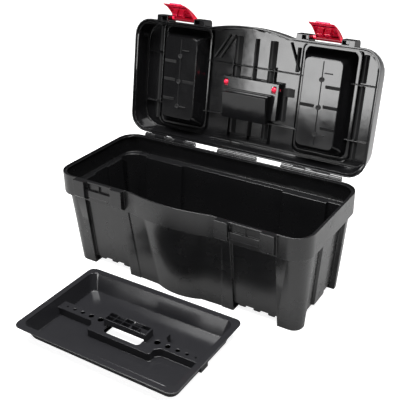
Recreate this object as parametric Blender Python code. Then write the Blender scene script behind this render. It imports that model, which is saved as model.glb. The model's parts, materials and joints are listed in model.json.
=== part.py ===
"""Toolbox with a lift-out tray, as an assembly of separate mouldings, in metres.

+Z is up, +X is to the right and -Y is the front. The origin is the centre of the box's
underside. The lid stands open on its hinge, the latches hang loose, and the tray lies on
the ground in front of the box. Lid pieces are modelled as on the closed box, in a frame on
the hinge axis: X along the hinge, -Y towards the front edge, +Z out through the lid's top.
"""
import math

import bmesh
import bpy
from mathutils import Matrix, Vector

# Driving dimensions of the box body
WIDTH = 0.529
DEPTH = 0.236
HEIGHT = 0.202
WALL = 0.0026
COLLAR_HEIGHT = 0.044
COLLAR_STEP_X = 0.0052
COLLAR_STEP_Y = 0.0112
FOOT_INSET_X = 0.0170
FOOT_INSET_Y = 0.0268
FLOOR_LIFT = 0.016
RIM_CORNER = 0.036
BODY_CORNER_TOP = 0.032
BODY_CORNER_FOOT = 0.019
BOW = 0.0105
COLLAR_DRAFT = 0.001
GAP = 0.0003

# How far joined shapes run into each other, and how far cutters run past a surface
JOIN = 0.0015
PAST = 0.002
FAR = 0.01

# Relief in the body walls
BAND_MARGIN = 0.007
CREASE_IN_TOP = 0.016
CREASE_IN_FOOT = 0.025
BOW_IN_TOP = 0.032
BOW_IN_SHOULDER = 0.048
BOW_IN_FOOT = 0.068
PANEL_RECESS = 0.0065
PILLAR_FRONT_TOP = 0.054
PILLAR_FRONT_FOOT = 0.042
PILLAR_SIDE_TOP = 0.040
PILLAR_SIDE_FOOT = 0.025
SIDE_PANEL_HALF = 0.021
SIDE_PANEL_RECESS = 0.004
SIDE_GROOVE_RECESS = 0.0085
FLANK_STEP = 0.0018
STEP_DRAFT = 0.0015
TEETH = 3
TOOTH_WIDTH = 0.013
TOOTH_DROP = 0.0055
TOOTH_DEPTH = 0.011
TOOTH_NOTCH = 0.0045
TOOTH_ROUND = 0.001
TOOTH_STEP = 0.003

# Latches and the lugs that carry them
LATCH_FROM_SIDE = 0.1095
LATCH_GAP = 0.062
LUG_WIDTH = 0.0255
LUG_PROUD = 0.0105
LUG_ROOT = 0.006
LUG_CHAMFER = 0.003
LUG_OVER_PIN = 0.012
LUG_ROUND = 0.008
LUG_EDGE = 0.001
BASE_LUG_HEIGHT = 0.036
STRIKE_DEPTH = 0.0040
STRIKE_THICK = 0.0040
LEDGE_DROP = 0.0185
LATCH_WIDTH = 0.048
LATCH_LENGTH = 0.056
LATCH_WALL = 0.0022
LATCH_PIN_RADIUS = 0.0016
LATCH_PIN_INSET = 0.004
LATCH_PIVOT_LIFT = 0.018
LATCH_PIVOT_OUT = 0.0050
LATCH_BARREL = 0.0040
LATCH_ABOVE_PIN = 0.0043
LATCH_FACE = 0.0072
LATCH_FLARE = 0.0008
LATCH_BULGE = 0.0027
LATCH_SINK = 0.0004
CHEEK_ABOVE_PIN = 0.0026
CHEEK_BEHIND = 0.0040
CHEEK_RUN = 0.0120
CHEEK_BULGE = 0.0030
CHEEK_SHARE = 0.86
HOOK_WIDTH = 0.026
HOOK_HEIGHT = 0.010
HOOK_SLIT = 0.0012
THUMB_TOP = 0.60
THUMB_TIP = 0.94
THUMB_RISE = 0.003
THUMB_SLOPE = 0.005
THUMB_EDGE = 0.002
LATCH_REST = math.radians(25)

# Hinge
AXIS_BACK = 0.0056
KNUCKLE_RADIUS = 0.0051
KNUCKLE_WEB = 0.014
WEB_TURN = 190
HINGE_PIN_RADIUS = 0.0019
HINGE_LENGTH = 0.125
HINGE_OUT = 0.006
KNUCKLES = 5
STOP_HALF = 0.044
LID_OPEN = math.radians(100)

# Lid
LID_HEIGHT = 0.044
LID_WALL = 0.0024
LID_ROUND = 0.008
LID_LEAN = 0.003
LID_ROUND_SHARE = 0.3
LID_INNER_SHARE = 0.4
LID_CORNER_GROW = 0.010
RIB = 0.0016
RIB_DEPTH = 0.0075
FINGER_RIB_BACK = 0.174
FRONT_RIB_BACK = 0.070
LONG_RIB_FRONT = 0.006
LONG_RIB_REAR = 0.008
WELL_HALF = 0.0515
WELL_DEPTH = 0.0315
WELL_TAPER_X = 0.015
WELL_TAPER_Y = 0.0155
WELL_CORNER = 0.010
WELL_REAR_MARGIN = 0.026
WELL_FRONT_MARGIN = 0.0145
DIVIDER_THICK = 0.0016
DIVIDER_HEIGHT = 0.0235
DIVIDER_SIDE_GAP = 0.0008
OUTER_ROWS = (0.54, 0.05, -0.40)
INNER_ROW = 0.065
BOSS_ROWS = (0.70, 0.08, -0.55)
BOSS_RADIUS = 0.0042
BOSS_DROP = 0.0018
MARK_DROP = 0.0009
MARK_HALF = 0.0012
MARK_DEPTH = 0.0011
OUTER_MARK = (0.45, 0.92)
INNER_MARK = (0.40, 0.88)

# Carry handle and its pocket in the lid's top
HANDLE_PIVOT_BACK = 0.105
HANDLE_ARM = 0.045
HANDLE_THICK = 0.013
GRIP_WIDTH = 0.024
ARM_WIDTH = 0.012
ARM_FROM_LATCH = 0.095
TRUNNION_RADIUS = 0.0030
HANDLE_DEPTH = 0.016
FINGER_DEPTH = 0.030
FINGER_HALF = 0.046
FINGER_FRONT = 0.030
FINGER_REAR = 0.020
HANDLE_ROOM = 0.001
PIVOT_ROOM = 0.0095
WINDOW_HALF = 0.007
GRIP_ROUND = 0.8
ARM_SINK = 0.0004
TRUNNION_ROOT = 0.004

# Organiser covers
COVER_THICK = 0.0022
COVER_MARGIN = 0.003
COVER_EDGE = 0.0015
COVER_EDGE_SHARE = 0.6
COVER_PIN_GAP = 0.0032
EAR_THICK = 0.003
BARREL_LENGTH = 0.022
BARREL_RADIUS = 0.0026
BARREL_SHARE = 0.72
BARREL_LIFT = 0.0012
BARREL_WEB = 0.004
COVER_PIN_RADIUS = 0.0013
TAB_ROOT = 0.002
TAB_OUT = 0.004
TAB_HALF = 0.014
TAB_STEP = 0.0004

# Tray
TRAY_WIDTH = 0.334
TRAY_DEPTH = 0.214
TRAY_HEIGHT = 0.034
TRAY_WALL = 0.0022
TRAY_LIP = 0.0115
TRAY_LIP_THICK = 0.0026
TRAY_LIP_DRAFT = 0.0004
TRAY_TAPER = 0.0075
TRAY_NARROWING = 0.005
TRAY_FOOT_ROUND = 0.003
TRAY_CORNER = 0.014
TRAY_CENTRE = Vector((0.0035, -0.256, 0.0))
SPINE_HALF = 0.0105
SPINE_HEIGHT = 0.0180
SPINE_END = 0.001
SPINE_SLOPE = 0.008
BLOCK_CORNER = 0.003
BLOCK_HALF_X = 0.067
BLOCK_HALF_Y = 0.033
SLOT_HALF_X = 0.038
SLOT_HALF_Y = 0.024
SLOT_CORNER = 0.006
GRIP_HALF_Y = 0.011
GRIP_DEPTH = 0.012
GRIP_OUTER = 0.007
GRIP_INNER = 0.002
GRIP_EDGE = 0.002
GRIP_RIM = 0.0016
GRIP_WEB = 0.0012
TOOL_HOLES = 5
TOOL_HOLE_RADIUS = 0.0056
TOOL_HOLE_SHRINK = 0.0009
TOOL_HOLE_FIRST = 0.023
TOOL_HOLE_LAST = 0.0295
TOOL_HOLE_SPREAD = 0.15
POCKETS = 5

ARC_STEPS = 6
BOW_STEPS = 8

# Places that follow from the sizes above
LATCH_X = WIDTH / 2 - LATCH_FROM_SIDE
CENTRE_HALF = LATCH_X - LATCH_GAP / 2 - BAND_MARGIN
CREASE_TOP = CENTRE_HALF - CREASE_IN_TOP
CREASE_FOOT = CENTRE_HALF - CREASE_IN_FOOT
BOW_TOP = CENTRE_HALF - BOW_IN_TOP
BOW_SHOULDER = CENTRE_HALF - BOW_IN_SHOULDER
BOW_FOOT = CENTRE_HALF - BOW_IN_FOOT
SHOULDER = HEIGHT - COLLAR_HEIGHT
HINGE_X = LATCH_X + HINGE_OUT
HINGE_AXIS = Vector((0.0, DEPTH / 2 + AXIS_BACK, HEIGHT + GAP))
LID_FRONT = -(AXIS_BACK + DEPTH)
LID_MIDDLE = -(AXIS_BACK + DEPTH / 2)
CEILING = LID_HEIGHT - LID_WALL
WELL_REAR = -(AXIS_BACK + WELL_REAR_MARGIN)
WELL_FRONT = LID_FRONT + WELL_FRONT_MARGIN
WELL_MIDDLE = (WELL_REAR + WELL_FRONT) / 2
WELL_HALF_LONG = (WELL_REAR - WELL_FRONT) / 2
WELL_FLOOR = LID_HEIGHT - WELL_DEPTH
LATCH_PIVOT = Vector((0.0, LID_FRONT - LATCH_PIVOT_OUT, LATCH_PIVOT_LIFT))
FINGER_RIB_Y = LID_FRONT + FINGER_RIB_BACK
FRONT_RIB_Y = LID_FRONT + FRONT_RIB_BACK
COVER_PIN_X = LATCH_X - WELL_HALF - COVER_MARGIN - COVER_PIN_GAP
HANDLE_PIVOT_Y = LID_FRONT + HANDLE_PIVOT_BACK
HANDLE_PIVOT_Z = LID_HEIGHT - HANDLE_DEPTH + HANDLE_THICK / 2 + 2 * GAP
HANDLE_HALF = LATCH_X - ARM_FROM_LATCH
GRIP_Y = HANDLE_PIVOT_Y + HANDLE_ARM
COVER_PIN_Z = LID_HEIGHT + GAP + BARREL_RADIUS + BARREL_LIFT


def new_collection(name, hidden=False):
    collection = bpy.data.collections.new(name)
    bpy.context.scene.collection.children.link(collection)
    collection.hide_render = hidden
    return collection


def make_material(name, colour, roughness, transmission=0.0, metallic=0.0):
    material = bpy.data.materials.new(name)
    material.use_nodes = True
    shader = material.node_tree.nodes["Principled BSDF"]
    shader.inputs["Base Color"].default_value = (*colour, 1.0)
    shader.inputs["Roughness"].default_value = roughness
    shader.inputs["Metallic"].default_value = metallic
    shader.inputs["Transmission Weight"].default_value = transmission
    material.diffuse_color = (*colour, 1.0)
    return material


def add_object(name, shape, group, material=None, parent=None):
    """Turns a bmesh into an object with outward faces. Without a material it is a cutter."""
    bmesh.ops.remove_doubles(shape, verts=shape.verts, dist=1e-7)
    bmesh.ops.recalc_face_normals(shape, faces=shape.faces)
    mesh = bpy.data.meshes.new(name)
    shape.to_mesh(mesh)
    shape.free()
    obj = bpy.data.objects.new(name, mesh)
    group.objects.link(obj)
    if parent:
        obj.parent = parent
    if material:
        mesh.materials.append(material)
        mesh.shade_smooth()
        mesh.set_sharp_from_angle(angle=math.radians(30))
    else:
        obj.hide_render = True
        obj.display_type = "WIRE"
    return obj


def spaced(start, end, steps):
    return [start + (end - start) * i / steps for i in range(steps + 1)]


def arc(centre, radius, start, end, steps):
    """Points on an arc, in degrees, both ends included."""
    turn = [math.radians(angle) for angle in spaced(start, end, steps)]
    return [(centre[0] + radius * math.cos(a), centre[1] + radius * math.sin(a)) for a in turn]


def loft(shape, levels):
    """Adds a closed body through outlines of equal point count, one for each height."""
    rings = [[shape.verts.new((x, y, z)) for x, y in outline] for outline, z in levels]
    for low, high in zip(rings, rings[1:]):
        for i in range(len(low)):
            j = (i + 1) % len(low)
            shape.faces.new((low[i], low[j], high[j], high[i]))
    shape.faces.new(list(reversed(rings[0])))
    shape.faces.new(rings[-1])


def slab(shape, outline, start, end, axis="X"):
    """Adds an outline extruded along an axis. X takes (y, z), Y takes (x, z), Z takes (x, y)."""
    place = {
        "X": lambda t, p: (t, p[0], p[1]),
        "Y": lambda t, p: (p[0], t, p[1]),
        "Z": lambda t, p: (p[0], p[1], t),
    }[axis]
    rings = [[shape.verts.new(place(t, p)) for p in outline] for t in (start, end)]
    count = len(outline)
    for i in range(count):
        j = (i + 1) % count
        shape.faces.new((rings[0][i], rings[0][j], rings[1][j], rings[1][i]))
    shape.faces.new(list(reversed(rings[0])))
    shape.faces.new(rings[1])


def box(shape, low, high):
    middle = (Vector(low) + Vector(high)) / 2
    size = Vector(high) - Vector(low)
    place = Matrix.Translation(middle) @ Matrix.Diagonal((*size, 1.0))
    bmesh.ops.create_cube(shape, size=1.0, matrix=place)


def rod(shape, start, end, radius, segments=16, radius_end=None):
    start, end = Vector(start), Vector(end)
    turn = (end - start).to_track_quat("Z", "Y").to_matrix().to_4x4()
    bmesh.ops.create_cone(
        shape, cap_ends=True, segments=segments, radius1=radius,
        radius2=radius if radius_end is None else radius_end, depth=(end - start).length,
        matrix=Matrix.Translation((start + end) / 2) @ turn)


def combine(target, shape, operation, group):
    """Joins a bmesh to the target or cuts it away, as a live Boolean."""
    tool = add_object(f"{target.name}_{operation.lower()}_{len(target.modifiers)}", shape, group)
    tool.parent = target.parent
    tool.matrix_parent_inverse = target.matrix_parent_inverse.copy()
    tool.location = target.location
    modifier = target.modifiers.new(operation.title(), "BOOLEAN")
    modifier.operation = operation
    modifier.solver = "EXACT"
    modifier.object = tool


def both_sides(centre, half):
    """The spans that reach `half` either side of -centre and of +centre."""
    return ((-centre - half, -centre + half), (centre - half, centre + half))


def both_ways(near, far):
    """The spans from near to far on the minus side and on the plus side."""
    return ((-far, -near), (near, far))


def mirrored_ring(right_half):
    """Closes a right half, listed from the front middle to the rear middle, into a ring."""
    return right_half + [(-x, y) for x, y in reversed(right_half) if x > 1e-9]


def wall_ring(half_x, half_y, corner, inset=0.0, bow_half=None, relief=None, middle=0.0):
    """A plan of the box: rounded corners, a bowed front and, with relief, recessed panels.

    relief holds the crease's place, the front and side pillars' widths, and the depth's share.
    """
    x_wall, y_wall = half_x - inset, half_y - inset
    radius = corner - inset
    bow_half = (bow_half or BOW_TOP) - inset / 2
    front, side, panel = [], [], []
    for along in spaced(0.0, 1.0, BOW_STEPS):
        front.append((bow_half * along, -(y_wall + BOW * (1 - along ** 2))))
    if relief:
        crease, pillar_x, pillar_y, share = relief
        recess = PANEL_RECESS * share
        panel_start, panel_end = CENTRE_HALF - inset, half_x - pillar_x + inset
        panel = [(panel_start, 0.0), (panel_start + STEP_DRAFT, recess),
                 (panel_end - STEP_DRAFT, recess), (panel_end, 0.0)]
        front.append((crease, -(y_wall - FLANK_STEP * share)))
        front.append((crease + STEP_DRAFT / 2, -y_wall))
        pillar_end = half_y - pillar_y + inset
        panel_half = SIDE_PANEL_HALF - inset
        groove, raised = SIDE_GROOVE_RECESS * share, SIDE_PANEL_RECESS * share
        side = [(pillar_end, 0.0), (pillar_end - STEP_DRAFT, groove),
                (panel_half + STEP_DRAFT, groove), (panel_half, raised)]
    front += [(x, -(y_wall - deep)) for x, deep in panel]
    front += arc((x_wall - radius, -(y_wall - radius)), radius, -90, 0, ARC_STEPS)
    right = [(x_wall - deep, -y) for y, deep in side]
    right += [(x_wall - deep, y) for y, deep in reversed(side)]
    rear = arc((x_wall - radius, y_wall - radius), radius, 0, 90, ARC_STEPS)
    rear += [(x, y_wall - deep) for x, deep in reversed(panel)]
    return [(x, y + middle) for x, y in mirrored_ring(front + right + rear)]


def body_level(z, inset=0.0):
    """The body's plan at a height, between the feet and the collar's underside."""
    up = z / SHOULDER
    mix = lambda foot, top: foot + (top - foot) * up
    relief = (mix(CREASE_FOOT, CREASE_TOP), mix(PILLAR_FRONT_FOOT, PILLAR_FRONT_TOP),
              mix(PILLAR_SIDE_FOOT, PILLAR_SIDE_TOP), 1.0)
    return wall_ring(WIDTH / 2 - mix(FOOT_INSET_X, COLLAR_STEP_X),
                     DEPTH / 2 - mix(FOOT_INSET_Y, COLLAR_STEP_Y),
                     mix(BODY_CORNER_FOOT, BODY_CORNER_TOP), inset,
                     mix(BOW_FOOT, BOW_SHOULDER), relief)


def collar_level(inset=0.0):
    relief = (CREASE_TOP, PILLAR_FRONT_TOP, PILLAR_SIDE_TOP, 0.0)
    return wall_ring(WIDTH / 2, DEPTH / 2, RIM_CORNER, inset, relief=relief)


def rounded_box(half_x, half_y, corner, centre=(0.0, 0.0), steps=4):
    cx, cy = centre
    points = []
    for sign_x, sign_y, start in ((1, -1, -90), (1, 1, 0), (-1, 1, 90), (-1, -1, 180)):
        middle = (cx + sign_x * (half_x - corner), cy + sign_y * (half_y - corner))
        points += arc(middle, corner, start, start + 90, steps)
    return points


def make_base(parts, cutters, material):
    shape = bmesh.new()
    loft(shape, [(body_level(0.0), 0.0), (body_level(SHOULDER / 2), SHOULDER / 2),
                 (body_level(SHOULDER), SHOULDER), (collar_level(), SHOULDER + COLLAR_DRAFT),
                 (collar_level(), HEIGHT)])
    base = add_object("base_shell", shape, parts, material)
    combine(base, base_lugs(), "UNION", cutters)
    combine(base, base_strikes(), "UNION", cutters)
    combine(base, base_strike_ribs(), "UNION", cutters)

    inside = bmesh.new()
    floor = FLOOR_LIFT + WALL
    ledge = SHOULDER + WALL
    loft(inside, [(body_level(floor, WALL), floor),
                  (body_level(SHOULDER / 2, WALL), SHOULDER / 2),
                  (body_level(SHOULDER, WALL), ledge),
                  (collar_level(WALL), ledge + COLLAR_DRAFT),
                  (collar_level(WALL), HEIGHT + FAR)])
    combine(base, inside, "DIFFERENCE", cutters)

    # The middle band and the corner pillars go down to the ground, and are hollow.
    hollows = bmesh.new()
    foot_x, foot_y = WIDTH / 2 - FOOT_INSET_X, DEPTH / 2 - FOOT_INSET_Y
    pillar_x, pillar_y = foot_x - PILLAR_FRONT_FOOT, foot_y - PILLAR_SIDE_FOOT
    box(hollows, (-(CENTRE_HALF - 2 * WALL), -(foot_y - 2 * WALL), WALL),
        (CENTRE_HALF - 2 * WALL, foot_y - 2 * WALL, floor + PAST))
    corner_room = BODY_CORNER_FOOT * (1 - math.sqrt(0.5)) + WALL
    for low_x, high_x in both_ways(pillar_x + WALL, foot_x - corner_room):
        for low_y, high_y in both_ways(pillar_y + WALL, foot_y - corner_room):
            box(hollows, (low_x, low_y, WALL), (high_x, high_y, floor + PAST))
    combine(base, hollows, "DIFFERENCE", cutters)

    # Between the pillars and the band the underside is lifted off the ground.
    under = bmesh.new()
    for low_x, high_x in both_ways(CENTRE_HALF, pillar_x):
        box(under, (low_x, -DEPTH, -FAR), (high_x, DEPTH, FLOOR_LIFT))
    combine(base, under, "DIFFERENCE", cutters)
    gaps = bmesh.new()
    for low_x, high_x in both_ways(pillar_x - JOIN, WIDTH):
        box(gaps, (low_x, -pillar_y, -FAR), (high_x, pillar_y, FLOOR_LIFT))
    combine(base, gaps, "DIFFERENCE", cutters)
    combine(base, underside_teeth(pillar_x, pillar_y), "UNION", cutters)

    holes = bmesh.new()
    for low, high in both_sides(HINGE_X, HINGE_LENGTH / 2 + PAST):
        rod(holes, (low, HINGE_AXIS.y, HINGE_AXIS.z), (high, HINGE_AXIS.y, HINGE_AXIS.z),
            HINGE_PIN_RADIUS + GAP)
    combine(base, holes, "DIFFERENCE", cutters)


def tooth_outline():
    """A stub below the floor, as (outwards, up) from the foot of the wall above it."""
    foot, root = FLOOR_LIFT - TOOTH_DROP, FLOOR_LIFT + WALL / 2
    return [(-TOOTH_DEPTH, root), (0.0, root), (-0.2 * TOOTH_ROUND, foot + 0.8 * TOOTH_ROUND),
            (-TOOTH_ROUND, foot), (-TOOTH_NOTCH, foot), (-TOOTH_NOTCH - TOOTH_ROUND, foot + TOOTH_STEP),
            (-TOOTH_DEPTH, foot + TOOTH_STEP)]


def underside_teeth(pillar_x, pillar_y):
    """Stubs along the lifted edges of the underside, between the band and the pillars."""
    shape = bmesh.new()
    share = FLOOR_LIFT / SHOULDER
    out_x = WIDTH / 2 - FOOT_INSET_X - SIDE_GROOVE_RECESS + share * (FOOT_INSET_X - COLLAR_STEP_X)
    out_y = DEPTH / 2 - FOOT_INSET_Y - PANEL_RECESS + share * (FOOT_INSET_Y - COLLAR_STEP_Y)
    half = TOOTH_WIDTH / 2
    pitch_x, pitch_y = (pillar_x - CENTRE_HALF) / TEETH, 2 * pillar_y / TEETH
    for i in range(TEETH):
        across, along = CENTRE_HALF + pitch_x * (i + 0.5), pitch_y * (i - 1)
        for way in (-1, 1):
            for x in (-across, across):
                outline = [(way * (out_y - WALL / 2 + out), up) for out, up in tooth_outline()]
                slab(shape, outline, x - half, x + half)
            outline = [(way * (out_x - WALL / 2 + out), up) for out, up in tooth_outline()]
            slab(shape, outline, along - half, along + half, axis="Y")
    return shape


def knuckle_spans(first):
    """Every other knuckle of both hinges, with GAP at each end: first is 0 or 1."""
    pitch = HINGE_LENGTH / KNUCKLES
    for low, high in both_sides(HINGE_X, HINGE_LENGTH / 2):
        for i in range(first, KNUCKLES, 2):
            yield low + pitch * i + GAP / 2, low + pitch * (i + 1) - GAP / 2


def knuckle_outline(lower):
    """A knuckle about the axis with its web: to the base's rear wall, or to the lid's."""
    web = -AXIS_BACK - JOIN
    if lower:
        web_top = KNUCKLE_RADIUS * math.sin(math.radians(WEB_TURN))
        return ([(web, -KNUCKLE_WEB), (web, web_top)]
                + arc((0.0, 0.0), KNUCKLE_RADIUS, WEB_TURN, -90, 18))
    return [(web, KNUCKLE_RADIUS)] + arc((0.0, 0.0), KNUCKLE_RADIUS, 90, -180, 18) + [(web, 0.0)]


def base_lugs():
    """Lugs beside each latch, the base's hinge knuckles, and the bar that stops the lid."""
    shape = bmesh.new()
    face = -DEPTH / 2
    foot = HEIGHT - BASE_LUG_HEIGHT
    lug = [(face + JOIN, foot - LUG_ROOT), (face + JOIN, HEIGHT), (face - LUG_PROUD, HEIGHT),
           (face - LUG_PROUD, foot + LUG_CHAMFER), (face - LUG_PROUD + LUG_CHAMFER, foot)]
    for start, end in lug_spans():
        slab(shape, lug, start, end)
    knuckle = [(y + HINGE_AXIS.y, z + HINGE_AXIS.z) for y, z in knuckle_outline(lower=True)]
    for start, end in knuckle_spans(0):
        slab(shape, knuckle, start, end)
    slab(shape, knuckle, -STOP_HALF, STOP_HALF)
    return shape


def lug_spans():
    half = LATCH_GAP / 2
    for centre in (-LATCH_X, LATCH_X):
        yield centre - half - LUG_WIDTH, centre - half
        yield centre + half, centre + half + LUG_WIDTH


def base_strikes():
    """The strike bar that each latch's hook pulls on, and the plate under the hook's recess."""
    shape = bmesh.new()
    face = -DEPTH / 2
    foot = HEIGHT - BASE_LUG_HEIGHT
    back, front = face + JOIN, face - STRIKE_DEPTH
    bar = [(back, HEIGHT - STRIKE_THICK), (back, HEIGHT), (front, HEIGHT),
           (front, HEIGHT - STRIKE_THICK)]
    plate = [(back, foot), (back, HEIGHT - LEDGE_DROP), (front, HEIGHT - LEDGE_DROP),
             (front, foot + STRIKE_DEPTH)]
    for start, end in both_sides(LATCH_X, LATCH_GAP / 2 + JOIN):
        slab(shape, bar, start, end)
        slab(shape, plate, start, end)
    return shape


def base_strike_ribs():
    shape = bmesh.new()
    face = -DEPTH / 2
    for start, end in both_sides(LATCH_X, RIB / 2):
        box(shape, (start, face - STRIKE_DEPTH + 2 * GAP, HEIGHT - LEDGE_DROP - JOIN),
            (end, face + JOIN, HEIGHT - STRIKE_THICK + JOIN))
    return shape


def lid_level(inset=0.0, grow=0.0):
    """The lid's plan. Its corners grow rounder, by `grow`, towards the top."""
    return wall_ring(WIDTH / 2, DEPTH / 2, RIM_CORNER + grow, inset, middle=LID_MIDDLE)


def lid_side(z):
    """How far the lid's side wall leans in at a height."""
    return LID_LEAN * z / (LID_HEIGHT - LID_ROUND)


def make_lid(parts, cutters, material, frame):
    shape = bmesh.new()
    rounded = LID_HEIGHT - LID_ROUND
    turn, grow = LID_ROUND_SHARE * LID_ROUND, LID_CORNER_GROW
    loft(shape, [(lid_level(), 0.0), (lid_level(LID_LEAN, grow), rounded),
                 (lid_level(LID_LEAN + turn, grow), LID_HEIGHT - turn),
                 (lid_level(LID_LEAN + LID_ROUND, grow), LID_HEIGHT)])
    lid = add_object("lid_shell", shape, parts, material, frame)

    inside = bmesh.new()
    below = FAR / rounded
    loft(inside, [(lid_level(LID_WALL - LID_LEAN * below, -grow * below), -FAR),
                  (lid_level(LID_LEAN + LID_WALL, grow), rounded),
                  (lid_level(LID_LEAN + LID_WALL + LID_INNER_SHARE * LID_ROUND, grow), CEILING)])
    combine(lid, inside, "DIFFERENCE", cutters)

    blocks = bmesh.new()
    for side in (-1, 1):
        loft(blocks, [(well_level(side, WELL_FLOOR - LID_WALL, LID_WALL), WELL_FLOOR - LID_WALL),
                      (well_level(side, CEILING + JOIN, LID_WALL), CEILING + JOIN)])
    low, high = handle_recess()
    wall = Vector((LID_WALL, LID_WALL, LID_WALL))
    box(blocks, low - wall, (high.x + LID_WALL, high.y + LID_WALL, CEILING + JOIN))
    combine(lid, blocks, "UNION", cutters)
    finger_block = bmesh.new()
    low, high = finger_pocket()
    box(finger_block, low - wall, (high.x + LID_WALL, high.y + LID_WALL, CEILING + JOIN))
    combine(lid, finger_block, "UNION", cutters)

    combine(lid, lid_cross_ribs(), "UNION", cutters)
    combine(lid, lid_long_ribs(), "UNION", cutters)
    combine(lid, lid_lugs(), "UNION", cutters)
    combine(lid, well_underside(), "UNION", cutters)
    combine(lid, well_cross_marks(), "UNION", cutters)

    hollows = bmesh.new()
    for side in (-1, 1):
        loft(hollows, [(well_level(side, WELL_FLOOR), WELL_FLOOR),
                       (well_level(side, LID_HEIGHT + PAST), LID_HEIGHT + PAST)])
    low, high = handle_recess()
    box(hollows, low, (high.x, high.y, LID_HEIGHT + PAST))
    combine(lid, hollows, "DIFFERENCE", cutters)
    fingers = bmesh.new()
    low, high = finger_pocket()
    box(fingers, low, (high.x, high.y, LID_HEIGHT + PAST))
    combine(lid, fingers, "DIFFERENCE", cutters)
    combine(lid, well_ribs(), "UNION", cutters)
    combine(lid, lid_holes(), "DIFFERENCE", cutters)


def well_level(side, z, grow=0.0):
    """An organiser well's plan at a height in the lid: it widens towards the lid's top."""
    share = (LID_HEIGHT - z) / WELL_DEPTH
    return rounded_box(WELL_HALF - WELL_TAPER_X * share + grow,
                       WELL_HALF_LONG - WELL_TAPER_Y * share + grow,
                       WELL_CORNER + grow, (side * LATCH_X, WELL_MIDDLE))


def handle_recess():
    half = HANDLE_HALF + HANDLE_ROOM
    return (Vector((-half, HANDLE_PIVOT_Y - PIVOT_ROOM, LID_HEIGHT - HANDLE_DEPTH)),
            Vector((half, GRIP_Y + GRIP_WIDTH / 2 + HANDLE_ROOM, LID_HEIGHT)))


def finger_pocket():
    return (Vector((-FINGER_HALF, GRIP_Y - FINGER_FRONT, LID_HEIGHT - FINGER_DEPTH)),
            Vector((FINGER_HALF, GRIP_Y + FINGER_REAR, LID_HEIGHT)))


def lid_cross_ribs():
    """Ribs across the lid's inside, from side wall to side wall."""
    shape = bmesh.new()
    reach = WIDTH / 2 - LID_LEAN - LID_ROUND
    for y in (FINGER_RIB_Y, FRONT_RIB_Y):
        box(shape, (-reach, y - RIB / 2, CEILING - RIB_DEPTH), (reach, y + RIB / 2, CEILING + JOIN))
    return shape


def lid_long_ribs():
    """Ribs from the rear of the lid towards its front, either side of the handle's pocket."""
    shape = bmesh.new()
    for x in (-FINGER_HALF, 0.0, FINGER_HALF):
        box(shape, (x - RIB / 2, FRONT_RIB_Y - LONG_RIB_FRONT, CEILING - RIB_DEPTH + 2 * GAP),
            (x + RIB / 2, WELL_REAR + LONG_RIB_REAR, CEILING + JOIN))
    return shape


def lid_lugs():
    """Lugs that hold the latch pins, the lid's hinge knuckles, and the covers' hinge ears."""
    shape = bmesh.new()
    top = LATCH_PIVOT_LIFT + LUG_OVER_PIN
    front = LID_FRONT - LUG_PROUD
    lug = [(LID_FRONT + JOIN, 0.0), (LID_FRONT + lid_side(top) + LID_WALL / 2, top)]
    lug += arc((front + LUG_ROUND, top - LUG_ROUND), LUG_ROUND, 90, 180, 5)
    lug += [(front, 2 * LUG_EDGE), (front + LUG_EDGE, 0.0)]
    for start, end in lug_spans():
        slab(shape, lug, start, end)
    for start, end in knuckle_spans(1):
        slab(shape, knuckle_outline(lower=False), start, end)
    for side in (-1, 1):
        ear = [(x + side * COVER_PIN_X, z) for x, z in ear_outline()]
        for low, high in ear_spans():
            slab(shape, ear, low, high, axis="Y")
    return shape


def ear_outline():
    """An ear that stands on the lid's top and rounds over a cover's pin."""
    foot = LID_HEIGHT - JOIN
    return [(-BARREL_RADIUS, foot), (BARREL_RADIUS, foot)] + arc(
        (0.0, COVER_PIN_Z), BARREL_RADIUS, 0, 180, 8)


def ear_spans():
    """The two ears beside each cover barrel, along Y."""
    reach = BARREL_LENGTH / 2 + GAP
    for y in barrel_places():
        yield y - reach - EAR_THICK, y - reach
        yield y + reach, y + reach + EAR_THICK


def barrel_places():
    reach = BARREL_SHARE * WELL_HALF_LONG
    return (WELL_MIDDLE - reach, WELL_MIDDLE + reach)


def well_rows():
    """Where the dividers stand along each well: three outer rows and one inner row."""
    reach = WELL_HALF_LONG - WELL_TAPER_Y
    return [WELL_MIDDLE + row * reach for row in OUTER_ROWS], WELL_MIDDLE + INNER_ROW * reach


def well_underside():
    """The spine under each well and the bosses beside it."""
    shape = bmesh.new()
    under = WELL_FLOOR - LID_WALL
    reach = WELL_HALF_LONG - WELL_TAPER_Y
    for side in (-1, 1):
        for row in BOSS_ROWS:
            place = WELL_MIDDLE + row * reach
            rod(shape, (side * LATCH_X, place, under - BOSS_DROP),
                (side * LATCH_X, place, under + LID_WALL / 2), BOSS_RADIUS, 14)
    return shape


def well_cross_marks():
    """The thin line moulded along each well's underside, over its fixed partition."""
    shape = bmesh.new()
    under = WELL_FLOOR - LID_WALL
    reach = WELL_HALF_LONG - WELL_TAPER_Y - WELL_CORNER
    for start, end in both_sides(LATCH_X, RIB / 2):
        box(shape, (start, WELL_MIDDLE - reach, under - MARK_DROP),
            (end, WELL_MIDDLE + reach, under + LID_WALL / 2))
    return shape


def well_ribs():
    """The fixed partition along the middle of each well."""
    shape = bmesh.new()
    for start, end in both_sides(LATCH_X, DIVIDER_THICK / 2):
        box(shape, (start, WELL_MIDDLE - WELL_HALF_LONG + WELL_TAPER_Y - JOIN, WELL_FLOOR - JOIN),
            (end, WELL_MIDDLE + WELL_HALF_LONG - WELL_TAPER_Y + JOIN, WELL_FLOOR + DIVIDER_HEIGHT))
    return shape


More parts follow.
